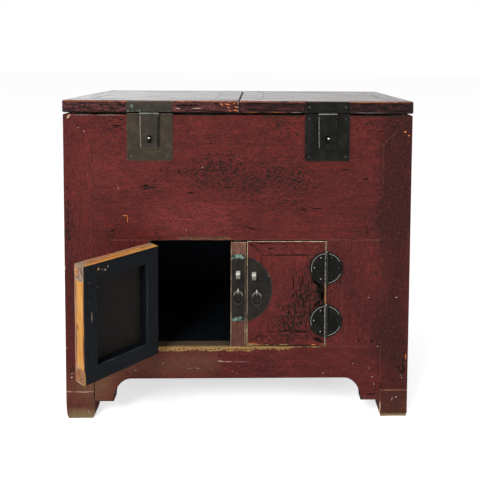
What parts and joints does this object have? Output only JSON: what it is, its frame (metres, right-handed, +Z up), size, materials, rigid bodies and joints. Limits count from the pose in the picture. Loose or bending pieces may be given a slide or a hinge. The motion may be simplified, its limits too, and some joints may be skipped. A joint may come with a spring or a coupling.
{
  "type": "trunk cabinet",
  "caption": "Lacquered wooden trunk cabinet: a chest under hinged half-lids with hasps, over a cupboard with hinged doors, a lift-out centre post, iron face plate and ring pulls, on short legs.",
  "frame": {"origin": "on the floor, at the bottom centre of the box round the part as it stands at rest, with its left door open", "axes": "+X to the right seen from the front, +Y from the front to the back, +Z up"},
  "size_m": [0.7, 0.5072, 0.65],
  "materials": {
    "red_lacquer": "worn dark red lacquer on softwood, satin",
    "faded_lacquer": "faded and rubbed red lacquer, satin",
    "lid_lacquer": "dark brown-red lacquer, glossy, worn orange on the arris",
    "bare_wood": "bare aged softwood, dusty",
    "worn_iron": "brown aged iron plate with touches of green corrosion",
    "black_iron": "nearly black aged iron"
  },
  "bodies": {
    "carcass": {"left_front_leg": "red_lacquer", "left_back_leg": "red_lacquer", "right_front_leg": "red_lacquer", "right_back_leg": "red_lacquer", "front_top_rail": "red_lacquer", "upper_front_board": "red_lacquer", "apron": "red_lacquer", "left_jamb": "red_lacquer", "left_front_panel": "red_lacquer", "right_jamb": "red_lacquer", "right_front_panel": "red_lacquer", "left_side_top_rail": "red_lacquer", "left_side_panel": "red_lacquer", "left_side_low_rail": "red_lacquer", "right_side_top_rail": "red_lacquer", "right_side_panel": "red_lacquer", "right_side_low_rail": "red_lacquer", "back_top_rail": "red_lacquer", "back_panel": "bare_wood", "back_low_rail": "red_lacquer", "trunk_floor": "bare_wood", "cupboard_floor": "bare_wood", "left_lid_inner_hinge_body_leaf": "black_iron", "left_lid_outer_hinge_body_leaf": "black_iron", "left_hasp_body_plate": "worn_iron", "left_door_lower_hinge_jamb_leaf": "black_iron", "left_door_upper_hinge_jamb_leaf": "black_iron", "right_lid_inner_hinge_body_leaf": "black_iron", "right_lid_outer_hinge_body_leaf": "black_iron", "right_hasp_body_plate": "black_iron", "right_door_lower_hinge_jamb_leaf": "black_iron", "right_door_upper_hinge_jamb_leaf": "black_iron"},
    "left_lid": {"left_lid_frame": "lid_lacquer", "left_lid_panel": "lid_lacquer", "left_lid_inner_hinge_lid_leaf": "black_iron", "left_lid_outer_hinge_lid_leaf": "black_iron", "left_hasp_lid_plate": "worn_iron"},
    "left_hasp": {"left_hasp_tongue": "worn_iron"},
    "left_door": {"left_door_frame": "red_lacquer", "left_door_panel": "red_lacquer", "left_door_lower_hinge_door_leaf": "black_iron", "left_door_upper_hinge_door_leaf": "black_iron", "left_door_face_plate": "worn_iron"},
    "left_door_ring": {"left_door_ring": "worn_iron"},
    "right_lid": {"right_lid_frame": "lid_lacquer", "right_lid_panel": "lid_lacquer", "right_lid_inner_hinge_lid_leaf": "black_iron", "right_lid_outer_hinge_lid_leaf": "black_iron", "right_hasp_lid_plate": "black_iron"},
    "right_hasp": {"right_hasp_tongue": "black_iron"},
    "right_door": {"right_door_frame": "red_lacquer", "right_door_panel": "red_lacquer", "right_door_lower_hinge_door_leaf": "black_iron", "right_door_upper_hinge_door_leaf": "black_iron", "right_door_face_plate": "worn_iron"},
    "right_door_ring": {"right_door_ring": "worn_iron"},
    "centre_post": {"centre_post": "faded_lacquer", "centre_post_face_plate": "worn_iron"},
    "centre_post_ring": {"centre_post_ring": "worn_iron"}
  },
  "joints": [
    {"name": "left_lid_hinge", "type": "hinge", "parent": "carcass", "child": "left_lid", "pos_m": [-0.17525, 0.24983, 0.62555], "axis": [-1, 0, 0], "range_deg": [0, 100]},
    {"name": "left_hasp_hinge", "type": "hinge", "parent": "left_lid", "child": "left_hasp", "pos_m": [-0.177, -0.12012, 0.626], "axis": [-1, 0, 0], "range_deg": [0, 160]},
    {"name": "right_lid_hinge", "type": "hinge", "parent": "carcass", "child": "right_lid", "pos_m": [0.17525, 0.24983, 0.62555], "axis": [-1, 0, 0], "range_deg": [0, 100]},
    {"name": "right_hasp_hinge", "type": "hinge", "parent": "right_lid", "child": "right_hasp", "pos_m": [0.177, -0.12012, 0.626], "axis": [-1, 0, 0], "range_deg": [0, 160]},
    {"name": "left_door_hinge", "type": "hinge", "parent": "carcass", "child": "left_door", "pos_m": [-0.1783, -0.11827, 0.25795], "axis": [0, 0, -1], "range_deg": [-135, 35]},
    {"name": "right_door_hinge", "type": "hinge", "parent": "carcass", "child": "right_door", "pos_m": [0.1783, -0.11827, 0.25795], "axis": [0, 0, 1], "range_deg": [0, 170]},
    {"name": "centre_post_lift", "type": "slide", "parent": "carcass", "child": "centre_post", "axis": [0, 0, 1], "range_m": [0, 0.0035]},
    {"name": "left_door_ring_swing", "type": "hinge", "parent": "left_door", "child": "left_door_ring", "pos_m": [-0.27818, -0.21737, 0.26495], "axis": [0.7071, 0.7071, 0], "range_deg": [0, 110]},
    {"name": "right_door_ring_swing", "type": "hinge", "parent": "right_door", "child": "right_door_ring", "pos_m": [0.0376, -0.11882, 0.26245], "axis": [-1, 0, 0], "range_deg": [0, 110]},
    {"name": "centre_post_ring_swing", "type": "hinge", "parent": "centre_post", "child": "centre_post_ring", "pos_m": [0, -0.11882, 0.26495], "axis": [-1, 0, 0], "range_deg": [0, 110]}
  ]
}
